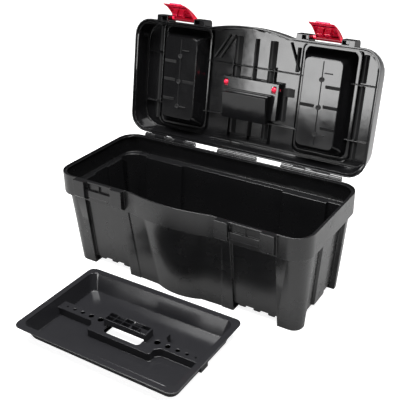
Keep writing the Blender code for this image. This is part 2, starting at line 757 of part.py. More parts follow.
def lid_holes():
    """Bores for the hinge, latch, handle and cover pins, the windows, and the divider marks."""
    shape = bmesh.new()
    for low, high in both_sides(HINGE_X, HINGE_LENGTH / 2 + PAST):
        rod(shape, (low, 0.0, 0.0), (high, 0.0, 0.0), HINGE_PIN_RADIUS + GAP)
    reach = latch_pin_half() + GAP
    for low, high in both_sides(LATCH_X, reach):
        rod(shape, (low, LATCH_PIVOT.y, LATCH_PIVOT.z), (high, LATCH_PIVOT.y, LATCH_PIVOT.z),
            LATCH_PIN_RADIUS + GAP, 12)
    for low, high in both_ways(HANDLE_HALF + HANDLE_ROOM / 2, HANDLE_HALF + LID_WALL + PAST):
        rod(shape, (low, HANDLE_PIVOT_Y, HANDLE_PIVOT_Z), (high, HANDLE_PIVOT_Y, HANDLE_PIVOT_Z),
            TRUNNION_RADIUS + GAP, 14)
    for low, high in both_ways(HANDLE_HALF - ARM_WIDTH + HANDLE_ROOM, HANDLE_HALF - 2 * HANDLE_ROOM):
        floor = LID_HEIGHT - HANDLE_DEPTH
        box(shape, (low, HANDLE_PIVOT_Y - WINDOW_HALF, floor - LID_WALL - PAST),
            (high, HANDLE_PIVOT_Y + WINDOW_HALF, floor + 2 * GAP))
    for side in (-1, 1):
        for y in barrel_places():
            reach = BARREL_LENGTH / 2 + GAP + EAR_THICK + PAST
            rod(shape, (side * COVER_PIN_X, y - reach, COVER_PIN_Z),
                (side * COVER_PIN_X, y + reach, COVER_PIN_Z), COVER_PIN_RADIUS + GAP, 10)
    under = WELL_FLOOR - LID_WALL
    outer_rows, inner_row = well_rows()
    near = WELL_HALF - WELL_TAPER_X
    marks = [(y, 1, OUTER_MARK) for y in outer_rows] + [(inner_row, -1, INNER_MARK)]
    for side in (-1, 1):
        for y, way, (start, end) in marks:
            low, high = sorted(side * (LATCH_X + way * share * near) for share in (start, end))
            box(shape, (low, y - MARK_HALF, under - MARK_DEPTH), (high, y + MARK_HALF, under + MARK_DEPTH))
    return shape


def make_hinge_pins(parts, material):
    for name, side in (("hinge_pin_left", -1), ("hinge_pin_right", 1)):
        shape = bmesh.new()
        half = HINGE_LENGTH / 2 - 3 * GAP
        rod(shape, (side * HINGE_X - half, HINGE_AXIS.y, HINGE_AXIS.z),
            (side * HINGE_X + half, HINGE_AXIS.y, HINGE_AXIS.z), HINGE_PIN_RADIUS)
        add_object(name, shape, parts, material)


def latch_pin_half():
    return LATCH_GAP / 2 + LUG_WIDTH - LATCH_PIN_INSET


def latch_outer(down):
    """The latch's outer face: how far out it stands, at a distance below the pivot."""
    share = (down + LATCH_ABOVE_PIN) / (LATCH_LENGTH + LATCH_ABOVE_PIN)
    return LATCH_FACE + LATCH_FLARE * share + 4 * LATCH_BULGE * share * (1 - share)


def latch_inner(down):
    """The inner edge of the latch's side plates, hollow towards the tip."""
    share = (down + CHEEK_ABOVE_PIN) / (LATCH_LENGTH + CHEEK_ABOVE_PIN)
    return CHEEK_RUN * share + 4 * CHEEK_BULGE * share * (1 - share) - CHEEK_BEHIND


def make_latch(name, side, parts, cutters, material, frame):
    """A latch about its own pin, as it hangs on the closed box: out is -Y, down is -Z."""
    outer = [(-latch_outer(d), -d) for d in spaced(-LATCH_ABOVE_PIN, LATCH_LENGTH, 10)]
    behind = [(y + LATCH_WALL, z) for y, z in outer[:-1]]
    shape = bmesh.new()
    slab(shape, outer + [(outer[-1][0] + 2 * GAP, outer[-1][1])] + list(reversed(behind)),
         -LATCH_WIDTH / 2, LATCH_WIDTH / 2)
    latch = add_object(name, shape, parts, material, frame)
    latch.location = LATCH_PIVOT + Vector((side * LATCH_X, 0.0, 0.0))

    plates = bmesh.new()
    last = LATCH_LENGTH * CHEEK_SHARE
    edge = [(-latch_inner(d), -d) for d in spaced(-CHEEK_ABOVE_PIN, last, 8)]
    cheek = [(-latch_outer(d) + LATCH_SINK, -d) for d in spaced(LATCH_SINK - LATCH_ABOVE_PIN, last, 9)]
    cheek += list(reversed(edge))
    for start, end in both_sides(LATCH_WIDTH / 2 - LATCH_SINK - LATCH_WALL / 2, LATCH_WALL / 2):
        slab(plates, cheek, start, end)
    combine(latch, plates, "UNION", cutters)

    barrel = bmesh.new()
    half = LATCH_GAP / 2 - GAP
    rod(barrel, (-half, 0.0, 0.0), (half, 0.0, 0.0), LATCH_BARREL, 20)
    combine(latch, barrel, "UNION", cutters)

    hooks = bmesh.new()
    drop = LATCH_PIVOT_LIFT + GAP + STRIKE_THICK + GAP
    reach = LATCH_PIVOT.y - LID_FRONT
    for low, high in both_ways(RIB / 2 + HOOK_SLIT, HOOK_WIDTH / 2):
        box(hooks, (low, -latch_outer(drop) + LATCH_WALL / 2, -drop - HOOK_HEIGHT),
            (high, -reach - 2 * GAP, -drop))
    combine(latch, hooks, "UNION", cutters)
    bump = bmesh.new()
    top, tip = THUMB_TOP * LATCH_LENGTH, THUMB_TIP * LATCH_LENGTH
    thumb = [(-latch_outer(top) + LATCH_WALL / 2, -top),
             (-latch_outer(top) - THUMB_RISE, -top - THUMB_SLOPE),
             (-latch_outer(tip) - THUMB_RISE - LATCH_FLARE, -tip + THUMB_EDGE),
             (-latch_outer(tip) + LATCH_WALL / 2, -tip)]
    slab(bump, thumb, -HOOK_WIDTH / 2, HOOK_WIDTH / 2)
    combine(latch, bump, "UNION", cutters)

    bore = bmesh.new()
    rod(bore, (-LATCH_GAP, 0.0, 0.0), (LATCH_GAP, 0.0, 0.0), LATCH_PIN_RADIUS + GAP, 12)
    combine(latch, bore, "DIFFERENCE", cutters)
    for modifier in latch.modifiers:
        modifier.object.parent = latch
        modifier.object.location = (0.0, 0.0, 0.0)
    latch.rotation_euler.x = -LATCH_REST


def make_latch_pin(name, side, parts, material, frame):
    shape = bmesh.new()
    half = latch_pin_half()
    rod(shape, (-half, 0.0, 0.0), (half, 0.0, 0.0), LATCH_PIN_RADIUS, 12)
    pin = add_object(name, shape, parts, material, frame)
    pin.location = LATCH_PIVOT + Vector((side * LATCH_X, 0.0, 0.0))


def make_handle(parts, cutters, material, frame):
    """The carry handle about its pivot, folded flat towards the hinge."""
    shape = bmesh.new()
    half = HANDLE_THICK / 2
    section = rounded_box(GRIP_WIDTH / 2, half, half * GRIP_ROUND, (HANDLE_ARM, 0.0), 3)
    slab(shape, section, -HANDLE_HALF, HANDLE_HALF)
    handle = add_object("carry_handle", shape, parts, material, frame)
    handle.location = (0.0, HANDLE_PIVOT_Y, HANDLE_PIVOT_Z)
    arms = bmesh.new()
    side = arc((0.0, 0.0), half, 90, 270, 10)
    side += [(HANDLE_ARM, -half + ARM_SINK), (HANDLE_ARM, half - ARM_SINK)]
    for low, high in both_ways(HANDLE_HALF - ARM_WIDTH, HANDLE_HALF - GAP):
        slab(arms, side, low, high)
    combine(handle, arms, "UNION", cutters)
    ends = bmesh.new()
    for low, high in both_ways(HANDLE_HALF - TRUNNION_ROOT, HANDLE_HALF + LID_WALL + 2 * GAP):
        rod(ends, (low, 0.0, 0.0), (high, 0.0, 0.0), TRUNNION_RADIUS, 14)
    combine(handle, ends, "UNION", cutters)
    for modifier in handle.modifiers:
        modifier.object.parent = handle
        modifier.object.location = (0.0, 0.0, 0.0)


def make_cover(name, side, parts, cutters, material, frame):
    """An organiser's clear cover about its own hinge, closed over the well."""
    near = COVER_PIN_GAP
    far = near + 2 * (WELL_HALF + COVER_MARGIN)
    bottom = LID_HEIGHT + GAP - COVER_PIN_Z
    long_half = WELL_HALF_LONG + COVER_MARGIN
    middle = side * (near + far) / 2
    shape = bmesh.new()
    plan = rounded_box((far - near) / 2, long_half, WELL_CORNER, (middle, 0.0))
    inner = rounded_box((far - near) / 2 - COVER_EDGE, long_half - COVER_EDGE,
                        WELL_CORNER - COVER_EDGE, (middle, 0.0))
    loft(shape, [(plan, bottom), (plan, bottom + COVER_THICK * COVER_EDGE_SHARE),
                 (inner, bottom + COVER_THICK)])
    cover = add_object(name, shape, parts, material, frame)
    cover.location = (side * COVER_PIN_X, WELL_MIDDLE, COVER_PIN_Z)

    fittings = bmesh.new()
    web = [(0.0, BARREL_RADIUS)] + arc((0.0, 0.0), BARREL_RADIUS, 90, 270, 8)
    web += [(near + BARREL_WEB, bottom + TAB_STEP / 2), (near + BARREL_WEB, bottom + COVER_THICK + GAP)]
    web = [(side * x, z) for x, z in web]
    for y in barrel_places():
        place = y - WELL_MIDDLE
        slab(fittings, web, place - BARREL_LENGTH / 2, place + BARREL_LENGTH / 2, axis="Y")
    low, high = sorted((side * (far - TAB_ROOT), side * (far + TAB_OUT)))
    box(fittings, (low, -TAB_HALF, bottom + TAB_STEP), (high, TAB_HALF, bottom + COVER_THICK - TAB_STEP))
    combine(cover, fittings, "UNION", cutters)
    ends = bmesh.new()
    for y in barrel_places():
        reach = BARREL_LENGTH / 2 + EAR_THICK - TAB_STEP
        rod(ends, (0.0, y - WELL_MIDDLE - reach, 0.0), (0.0, y - WELL_MIDDLE + reach, 0.0),
            COVER_PIN_RADIUS, 10)
    combine(cover, ends, "UNION", cutters)
    for modifier in cover.modifiers:
        modifier.object.parent = cover
        modifier.object.location = (0.0, 0.0, 0.0)


def make_dividers(parts, material, frame):
    outer_rows, inner_row = well_rows()
    low = WELL_FLOOR + GAP
    high = low + DIVIDER_HEIGHT - DIVIDER_SIDE_GAP
    spans = []
    for z in (low, high):
        half = WELL_HALF - WELL_TAPER_X * (LID_HEIGHT - z) / WELL_DEPTH
        spans.append((DIVIDER_THICK / 2 + DIVIDER_SIDE_GAP, half - DIVIDER_SIDE_GAP))
    for side_name, side in (("left", -1), ("right", 1)):
        rows = [(f"divider_{side_name}_outer_{i + 1}", side, y) for i, y in enumerate(outer_rows)]
        rows.append((f"divider_{side_name}_inner", -side, inner_row))
        for name, towards, y in rows:
            levels = []
            for (start, end), z in zip(spans, (low, high)):
                centre = side * LATCH_X + towards * (start + end) / 2
                half_x, half_y = (end - start) / 2, DIVIDER_THICK / 2
                levels.append(([(centre - half_x, y - half_y), (centre + half_x, y - half_y),
                                (centre + half_x, y + half_y), (centre - half_x, y + half_y)], z))
            shape = bmesh.new()
            loft(shape, levels)
            add_object(name, shape, parts, material, frame)


def spine_plan(shrink=0.0, half_x=None):
    """The tray's spine from above: a narrow bar with a wide block at its middle."""
    end = half_x or TRAY_WIDTH / 2 - TRAY_LIP - SPINE_END
    narrow, wide, block = SPINE_HALF - shrink, BLOCK_HALF_Y - shrink, BLOCK_HALF_X - shrink
    corner = [(end, narrow), (block + SPINE_SLOPE, narrow), (block, narrow + SPINE_SLOPE),
              (block, wide - BLOCK_CORNER), (block - BLOCK_CORNER, wide)]
    rear = corner + [(-x, y) for x, y in reversed(corner)]
    front = [(-x, -y) for x, y in corner] + [(x, -y) for x, y in reversed(corner)]
    return rear + front


def tray_level(inset, taper=0.0):
    """The tray's plan. `taper` is the share of the walls' lean: the long walls lean more."""
    half_x = TRAY_WIDTH / 2 - inset - TRAY_TAPER * taper
    half_y = TRAY_DEPTH / 2 - inset - (TRAY_TAPER + TRAY_NARROWING) * taper
    return rounded_box(half_x, half_y, TRAY_CORNER)


def make_tray(parts, cutters, material):
    """The lift-out tray on the ground, about its own middle."""
    lip = TRAY_HEIGHT - TRAY_LIP_THICK
    shape = bmesh.new()
    outside = TRAY_LIP - TRAY_WALL
    round_share = 1 - TRAY_FOOT_ROUND / lip
    loft(shape, [(tray_level(outside + TRAY_FOOT_ROUND, 1.0), 0.0),
                 (tray_level(outside, round_share), TRAY_FOOT_ROUND),
                 (tray_level(outside), lip), (tray_level(0.0), lip + TRAY_LIP_DRAFT),
                 (tray_level(0.0), TRAY_HEIGHT)])
    tray = add_object("lift_out_tray", shape, parts, material)
    tray.location = TRAY_CENTRE
    hollow = bmesh.new()
    above = 1 - (TRAY_HEIGHT + FAR - TRAY_WALL) / lip
    loft(hollow, [(tray_level(TRAY_LIP, 1.0), TRAY_WALL),
                  (tray_level(TRAY_LIP, above), TRAY_HEIGHT + FAR)])
    combine(tray, hollow, "DIFFERENCE", cutters)

    spine = bmesh.new()
    slab(spine, spine_plan(), TRAY_WALL / 2, SPINE_HEIGHT, axis="Z")
    combine(tray, spine, "UNION", cutters)
    channel = bmesh.new()
    slab(channel, spine_plan(TRAY_WALL, TRAY_WIDTH), -FAR, SPINE_HEIGHT - TRAY_WALL, axis="Z")
    combine(tray, channel, "DIFFERENCE", cutters)
    openings = bmesh.new()
    slab(openings, rounded_box(SLOT_HALF_X, SLOT_HALF_Y, SLOT_CORNER), SPINE_HEIGHT - FAR,
         SPINE_HEIGHT + FAR, axis="Z")
    first = SLOT_HALF_X + TOOL_HOLE_FIRST
    last = TRAY_WIDTH / 2 - TOOL_HOLE_LAST
    for i in range(TOOL_HOLES):
        along = i / (TOOL_HOLES - 1)
        x = first + (last - first) * along * (1 + TOOL_HOLE_SPREAD * (1 - along))
        for place in (-x, x):
            rod(openings, (place, 0.0, SPINE_HEIGHT - FAR), (place, 0.0, SPINE_HEIGHT + FAR),
                TOOL_HOLE_RADIUS - TOOL_HOLE_SHRINK * i, 16)
    combine(tray, openings, "DIFFERENCE", cutters)

    grip = bmesh.new()
    leg_out, leg_in = SLOT_HALF_X + GRIP_OUTER, SLOT_HALF_X + GRIP_INNER
    foot, top = SPINE_HEIGHT - TRAY_WALL / 2, TRAY_HEIGHT
    arch = [(leg_out, foot), (leg_out, top - GRIP_EDGE), (leg_out - GRIP_EDGE, top)]
    arch += [(-x, z) for x, z in reversed(arch)]
    arch += [(-leg_in, foot), (-leg_in, top - GRIP_DEPTH), (leg_in, top - GRIP_DEPTH), (leg_in, foot)]
    slab(grip, arch, -GRIP_HALF_Y, GRIP_HALF_Y, axis="Y")
    combine(tray, grip, "UNION", cutters)
    pockets = bmesh.new()
    reach, web = leg_out - GRIP_EDGE, GRIP_WEB
    pitch = 2 * reach / POCKETS
    for i in range(POCKETS):
        low = pitch * i + web / 2 - reach
        high = low + pitch - web
        for near, far in ((-GRIP_HALF_Y + GRIP_RIM, -web / 2), (web / 2, GRIP_HALF_Y - GRIP_RIM)):
            box(pockets, (low, near, top - GRIP_DEPTH + GRIP_EDGE), (high, far, top + PAST))
    combine(tray, pockets, "DIFFERENCE", cutters)


def main():
    for obj in list(bpy.data.objects):
        bpy.data.objects.remove(obj)
    parts = new_collection("toolbox_with_tray")
    cutters = new_collection("cutters", hidden=True)
    black = make_material("black_polypropylene", (0.012, 0.012, 0.013), 0.42)
    gloss = make_material("glossy_black_polypropylene", (0.014, 0.014, 0.016), 0.25)
    red = make_material("red_polypropylene", (0.78, 0.008, 0.045), 0.30)
    clear = make_material("clear_polystyrene", (0.85, 0.88, 0.90), 0.12, 0.9)
    steel = make_material("bright_steel", (0.60, 0.60, 0.62), 0.30, metallic=1.0)

    frame = bpy.data.objects.new("lid_hinge_axis", None)
    parts.objects.link(frame)
    frame.location = HINGE_AXIS
    frame.rotation_euler.x = -LID_OPEN

    make_base(parts, cutters, black)
    make_hinge_pins(parts, steel)
    make_lid(parts, cutters, gloss, frame)
    for side_name, side in (("left", -1), ("right", 1)):
        make_latch(f"latch_{side_name}", side, parts, cutters, red, frame)
        make_latch_pin(f"latch_pin_{side_name}", side, parts, steel, frame)
        make_cover(f"organiser_cover_{side_name}", side, parts, cutters, clear, frame)
    make_handle(parts, cutters, red, frame)
    make_dividers(parts, gloss, frame)
    make_tray(parts, cutters, gloss)


main()
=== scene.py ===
"""Looks of an open plastic toolbox with its lift-out tray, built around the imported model.

Laid out as an add-on: settings, one operator for each moulding or group of like pieces, and
one panel. Run as a script it makes every piece in order and sets the studio.
"""
import json
import math

import bmesh
import bpy
from bpy.props import FloatProperty, PointerProperty, StringProperty
from mathutils import Matrix, Vector


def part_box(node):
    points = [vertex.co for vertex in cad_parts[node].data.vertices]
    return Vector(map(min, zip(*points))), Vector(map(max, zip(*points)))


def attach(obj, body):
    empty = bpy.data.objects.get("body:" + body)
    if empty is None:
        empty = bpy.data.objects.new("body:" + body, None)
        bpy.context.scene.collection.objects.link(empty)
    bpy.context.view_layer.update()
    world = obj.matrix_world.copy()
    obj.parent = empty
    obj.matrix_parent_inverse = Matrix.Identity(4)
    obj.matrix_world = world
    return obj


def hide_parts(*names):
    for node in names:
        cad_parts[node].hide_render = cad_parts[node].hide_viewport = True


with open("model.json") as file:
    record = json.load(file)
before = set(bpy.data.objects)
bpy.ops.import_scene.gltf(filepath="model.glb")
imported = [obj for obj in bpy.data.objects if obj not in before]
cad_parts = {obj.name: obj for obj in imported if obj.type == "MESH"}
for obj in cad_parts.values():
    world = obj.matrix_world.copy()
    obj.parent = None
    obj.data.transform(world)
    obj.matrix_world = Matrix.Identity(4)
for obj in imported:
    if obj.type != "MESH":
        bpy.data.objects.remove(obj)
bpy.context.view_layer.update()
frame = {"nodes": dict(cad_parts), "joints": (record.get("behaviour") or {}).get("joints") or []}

bl_info = {
    "name": "Open toolbox with tray",
    "version": (1, 0, 0),
    "blender": (4, 5, 0),
    "location": "View3D > Sidebar > Toolbox",
    "description": "Models the mouldings, pins and covers of an open toolbox, and its studio",
    "category": "Object",
}

MM = 0.001
LID_FRONT = -241.6 * MM
BASE_RIM = 202 * MM
NODES = frame["nodes"]
JOINTS = {joint["name"]: joint for joint in frame["joints"]}
HINGE = Vector(JOINTS["lid_hinge"]["pos_m"])
LID_OPEN = math.radians(JOINTS["lid_hinge"]["range_deg"][1])
# The lid's own frame, on the hinge: -Y towards the front edge, +Z out through its top.
LID_PLACE = Matrix.Translation(HINGE) @ Matrix.Rotation(-LID_OPEN, 4, "X")

# Heights of the lid's ceiling and of the wells' undersides, and the wells' middles.
CEILING_Z = 41.6 * MM
WELL_FACE_Z = 10.1 * MM
WELL_X = 155 * MM
WELL_Y = -129.35 * MM

POLYPROPYLENE_IOR = 1.49
POLYSTYRENE_IOR = 1.58
CLOUD_MM = 38

# Triangles of one flat face come together within these.
WELD = 0.02 * MM
FLAT = math.radians(0.8)


def linear(colour):
    """An sRGB hex colour, such as 1B1B1D, as linear red, green and blue."""
    parts = [int(colour[i:i + 2], 16) / 255 for i in (0, 2, 4)]
    return [p / 12.92 if p <= 0.04045 else ((p + 0.055) / 1.055) ** 2.4 for p in parts]


def add_node(tree, kind, settings=None, values=None, links=None):
    """Adds a shader node with its settings, its sockets' values, and links into its sockets."""
    node = tree.nodes.new(kind)
    for name, value in (settings or {}).items():
        setattr(node, name, value)
    for name, value in (values or {}).items():
        node.inputs[name].default_value = value
    for name, socket in (links or {}).items():
        tree.links.new(socket, node.inputs[name])
    return node


def new_material(name):
    """An empty node material with its output, its place on the piece, and its shader."""
    material = bpy.data.materials.new(name)
    material.use_nodes = True
    tree = material.node_tree
    tree.nodes.clear()
    place = add_node(tree, "ShaderNodeTexCoord").outputs["Object"]
    shader = add_node(tree, "ShaderNodeBsdfPrincipled")
    add_node(tree, "ShaderNodeOutputMaterial", links={"Surface": shader.outputs["BSDF"]})
    return material, tree, place, shader


def per_metre(size_mm):
    """The scale that makes a noise's cells about this size, in millimetres."""
    return 1 / (size_mm * MM)


def moulded_plastic(name, colour, roughness, spread, grain_mm, grain_depth_mm, wave_mm,
                    wave_depth_mm):
    """Injection-moulded plastic: the mould's fine grain over the slow waves of its shrinkage."""
    material, tree, place, shader = new_material(name)
    cloud = add_node(tree, "ShaderNodeTexNoise", links={"Vector": place},
                     values={"Scale": per_metre(CLOUD_MM), "Detail": 3.0})
    tone = add_node(tree, "ShaderNodeMapRange", values={
        "From Min": 0.3, "From Max": 0.7,
        "To Min": roughness - spread, "To Max": roughness + spread,
    }, links={"Value": cloud.outputs["Fac"]})
    tree.links.new(tone.outputs["Result"], shader.inputs["Roughness"])
    wave = add_node(tree, "ShaderNodeTexNoise", links={"Vector": place},
                    values={"Scale": per_metre(wave_mm), "Detail": 1.0})
    grain = add_node(tree, "ShaderNodeTexNoise", links={"Vector": place},
                     values={"Scale": per_metre(grain_mm), "Detail": 2.0})
    slow = add_node(tree, "ShaderNodeBump", links={"Height": wave.outputs["Fac"]},
                    values={"Strength": 1.0, "Distance": wave_depth_mm * MM})
    fine = add_node(tree, "ShaderNodeBump",
                    values={"Strength": 1.0, "Distance": grain_depth_mm * MM},
                    links={"Height": grain.outputs["Fac"], "Normal": slow.outputs["Normal"]})
    tree.links.new(fine.outputs["Normal"], shader.inputs["Normal"])
    shader.inputs["Base Color"].default_value = (*linear(colour), 1.0)
    shader.inputs["IOR"].default_value = POLYPROPYLENE_IOR
    return material


def shader_of(material):
    return next(n for n in material.node_tree.nodes if n.type == "BSDF_PRINCIPLED")


def satin_black_polypropylene(colour):
    # Polypropylene from a spark-eroded mould: a fine, even grain that spreads highlights softly.
    return moulded_plastic("satin_black_polypropylene", colour, roughness=0.26, spread=0.03,
                           grain_mm=0.9, grain_depth_mm=0.004, wave_mm=40, wave_depth_mm=0.02)


def polished_black_polypropylene(colour):
    # Polypropylene from a polished mould: clear reflections that bend with the shrinkage.
    return moulded_plastic("polished_black_polypropylene", colour, roughness=0.11, spread=0.03,
                           grain_mm=1.2, grain_depth_mm=0.003, wave_mm=21, wave_depth_mm=0.08)


def eroded_black_polypropylene(colour):
    # Polypropylene from a coarsely eroded mould: matt, so it stays dark beside the polished faces.
    return moulded_plastic("eroded_black_polypropylene", colour, roughness=0.62, spread=0.05,
                           grain_mm=1.0, grain_depth_mm=0.03, wave_mm=26, wave_depth_mm=0.03)


def fine_black_polypropylene(colour):
    # Polypropylene from a finely blasted mould: an even, slightly greyer black.
    return moulded_plastic("fine_black_polypropylene", colour, roughness=0.20, spread=0.03,
                           grain_mm=0.9, grain_depth_mm=0.004, wave_mm=40, wave_depth_mm=0.02)


def glossy_red_polypropylene(colour):
    # Red polypropylene from a polished mould, slightly milky under its gloss.
    material = moulded_plastic("glossy_red_polypropylene", colour, roughness=0.26, spread=0.04,
                           grain_mm=0.8, grain_depth_mm=0.005, wave_mm=12, wave_depth_mm=0.05)
    shader = shader_of(material)
    shader.inputs["Subsurface Weight"].default_value = 0.15
    shader.inputs["Subsurface Radius"].default_value = (0.8, 0.1, 0.1)
    shader.inputs["Subsurface Scale"].default_value = 1.5 * MM
    return material


def clear_polystyrene(colour):
    # Moulded clear polystyrene: see-through, with faint flow ripples in its gloss.
    material = moulded_plastic("clear_polystyrene", colour, roughness=0.07, spread=0.02,
                           grain_mm=2.0, grain_depth_mm=0.003, wave_mm=14, wave_depth_mm=0.06)
    shader = shader_of(material)
    shader.inputs["Transmission Weight"].default_value = 0.92
    shader.inputs["IOR"].default_value = POLYSTYRENE_IOR
    return material


def drawn_steel_wire(colour):
    # Zinc-bright drawn wire: fine lines along its length from the die.
    material, tree, place, shader = new_material("drawn_steel_wire")
    stretched = add_node(tree, "ShaderNodeMapping", values={"Scale": (0.04, 1.0, 1.0)},
                         links={"Vector": place})
    lines = add_node(tree, "ShaderNodeTexNoise", values={"Scale": per_metre(0.25), "Detail": 4.0},
                     links={"Vector": stretched.outputs["Vector"]})
    tone = add_node(tree, "ShaderNodeMapRange", values={"To Min": 0.18, "To Max": 0.42},
                    links={"Value": lines.outputs["Fac"]})
    tree.links.new(tone.outputs["Result"], shader.inputs["Roughness"])
    bump = add_node(tree, "ShaderNodeBump", values={"Strength": 0.6, "Distance": 0.02 * MM},
                    links={"Height": lines.outputs["Fac"]})
    tree.links.new(bump.outputs["Normal"], shader.inputs["Normal"])
    shader.inputs["Base Color"].default_value = (*linear(colour), 1.0)
    shader.inputs["Metallic"].default_value = 1.0
    return material


def select_only(*objects):
    bpy.ops.object.select_all(action="DESELECT")
    for obj in objects:
        obj.select_set(True)
    bpy.context.view_layer.objects.active = objects[0]


def merged_copy(node, name):
    """A copy of a node's mesh with its triangles merged into whole faces, left in edit mode."""
    mesh = NODES[node].data.copy()
    mesh.materials.clear()
    piece = bpy.data.objects.new(name, mesh)
    bpy.context.scene.collection.objects.link(piece)
    select_only(piece)
    bpy.ops.object.mode_set(mode="EDIT")
    bpy.ops.mesh.select_all(action="SELECT")
    bpy.ops.mesh.remove_doubles(threshold=WELD)
    bpy.ops.mesh.dissolve_limited(angle_limit=FLAT)
    return piece


def apply_modifier(piece, kind, **settings):
    """Adds a modifier to a piece, sets it, and applies it."""
    select_only(piece)
    bpy.ops.object.modifier_add(type=kind)
    modifier = piece.modifiers[-1]
    for name, value in settings.items():
        setattr(modifier, name, value)
    bpy.ops.object.modifier_apply(modifier=modifier.name)


def smooth_shading(piece, angle=35):
    """Soft shading over the rounded edges, with the broad faces kept flat."""
    select_only(piece)
    bpy.ops.object.shade_smooth_by_angle(angle=math.radians(angle))
    apply_modifier(piece, "WEIGHTED_NORMAL", weight=80, keep_sharp=True)


LEAST_ANGLE = math.radians(28)


def moulding(node, name, edge, steps=2, keep_sharp=lambda place: False, cutters=()):
    """A node's shape, hollowed by the cutters and with its sharp edges rounded."""
    piece = merged_copy(node, name)
    for cutter in cutters:
        bpy.ops.object.mode_set(mode="OBJECT")
        apply_modifier(piece, "BOOLEAN", object=cutter, operation="DIFFERENCE", solver="EXACT")
        bpy.data.objects.remove(cutter)
        bpy.ops.object.mode_set(mode="EDIT")
    mesh = piece.data
    bpy.ops.mesh.select_mode(type="EDGE")
    bpy.ops.mesh.select_all(action="DESELECT")
    shape = bmesh.from_edit_mesh(mesh)
    for line in shape.edges:
        sharp = line.is_manifold and line.calc_face_angle(0.0) > LEAST_ANGLE
        middle = (line.verts[0].co + line.verts[1].co) / 2
        line.select = sharp and line.calc_length() > edge and not keep_sharp(middle)
    bmesh.update_edit_mesh(mesh)
    bpy.ops.mesh.bevel(offset=edge, segments=steps, clamp_overlap=False, affect="EDGES")
    bpy.ops.object.mode_set(mode="OBJECT")
    smooth_shading(piece)
    return piece


def block(low, high, narrow=(1.0, 1.0), facing=(0.0, 0.0, -1.0)):
    """A block between two corners. The face that looks along `facing` is narrowed across."""
    low, high = Vector(low), Vector(high)
    bpy.ops.object.select_all(action="DESELECT")
    bpy.ops.mesh.primitive_cube_add(size=1.0, location=(low + high) / 2)
    piece = bpy.context.view_layer.objects.active
    piece.scale = high - low
    bpy.ops.object.transform_apply(location=True, rotation=True, scale=True)
    if narrow != (1.0, 1.0):
        bpy.ops.object.mode_set(mode="EDIT")
        bpy.ops.mesh.select_mode(type="FACE")
        bpy.ops.mesh.select_all(action="DESELECT")
        shape = bmesh.from_edit_mesh(piece.data)
        for face in shape.faces:
            face.select = face.normal.dot(Vector(facing)) > 0.9
        bmesh.update_edit_mesh(piece.data)
        end = high if sum(facing) > 0 else low
        along = [abs(part) for part in facing].index(1.0)
        middle = (low + high) / 2
        middle[along] = end[along]
        factors = list(narrow)
        factors.insert(along, 1.0)
        bpy.ops.transform.resize(value=factors, center_override=middle)
        bpy.ops.object.mode_set(mode="OBJECT")
    return piece


def sloped(piece, low_y, high_y, rise):
    """Moves a block's inward face so that it rises by `rise` from low_y to high_y."""
    face_z = min(v.co.z for v in piece.data.vertices)
    for v in piece.data.vertices:
        if v.co.z < face_z + 0.01 * MM:
            v.co.z += rise * (v.co.y - low_y) / (high_y - low_y)
    return piece


def turned(piece, centre, angle, axis="Z"):
    """Turns a piece's mesh about a line through a point."""
    back = Matrix.Translation(-Vector(centre))
    piece.data.transform(Matrix.Translation(centre) @ Matrix.Rotation(angle, 4, axis) @ back)
    return piece


def band(centre, half_x, half_y, corner, width, height):
    """A rounded rectangle, or a band of this width round it, raised from its plane against +Z."""
    bpy.ops.object.select_all(action="DESELECT")
    bpy.ops.mesh.primitive_plane_add(size=1.0, location=centre)
    piece = bpy.context.view_layer.objects.active
    piece.scale = (2 * half_x, 2 * half_y, 1.0)
    bpy.ops.object.transform_apply(location=True, rotation=True, scale=True)
    bpy.ops.object.mode_set(mode="EDIT")
    bpy.ops.mesh.select_mode(type="FACE")
    bpy.ops.mesh.select_all(action="SELECT")
    bpy.ops.mesh.bevel(offset=corner, segments=5, affect="VERTICES")
    if width:
        bpy.ops.mesh.inset(thickness=width)
        bpy.ops.mesh.delete(type="FACE")
    bpy.ops.object.mode_set(mode="OBJECT")
    apply_modifier(piece, "SOLIDIFY", thickness=height, offset=-1.0)
    return piece


def joined(name, pieces, edge=0.0):
    """Joins pieces into one, with their edges rounded."""
    select_only(*pieces)
    bpy.ops.object.join()
    piece = bpy.context.view_layer.objects.active
    piece.name = name
    if edge:
        apply_modifier(piece, "BEVEL", width=edge, segments=2, limit_method="ANGLE")
    smooth_shading(piece)
    return piece


def into_lid(piece):
    """Carries a piece from the lid's own frame to its place on the open lid."""
    select_only(piece)
    piece.matrix_world = LID_PLACE @ piece.matrix_world
    bpy.ops.object.transform_apply(location=True, rotation=True, scale=True)
    return piece


ON_PLANE = 0.05 * MM
LEAST_WALL = 0.5 * MM
BEAD_EDGE = 0.35 * MM


def outlines_of(shape):
    """The closed outlines of a flat mesh, each as a set of edges."""
    rims = [line for line in shape.edges if line.is_boundary]
    loops = []
    while rims:
        loop, front = set(), [rims[0]]
        while front:
            line = front.pop()
            if line in loop:
                continue
            loop.add(line)
            front += [other for v in line.verts for other in v.link_edges if other.is_boundary]
        loops.append(loop)
        rims = [line for line in rims if line not in loop]
    return loops


def reach(loop):
    return max(v.co.x for line in loop for v in line.verts)


def shrink_about(middle, half, by_x, by_y):
    """Draws the selected outline in towards its middle by these distances."""
    factors = ((half.x - by_x) / half.x, (half.y - by_y) / half.y, 1.0)
    bpy.ops.transform.resize(value=factors, center_override=middle)


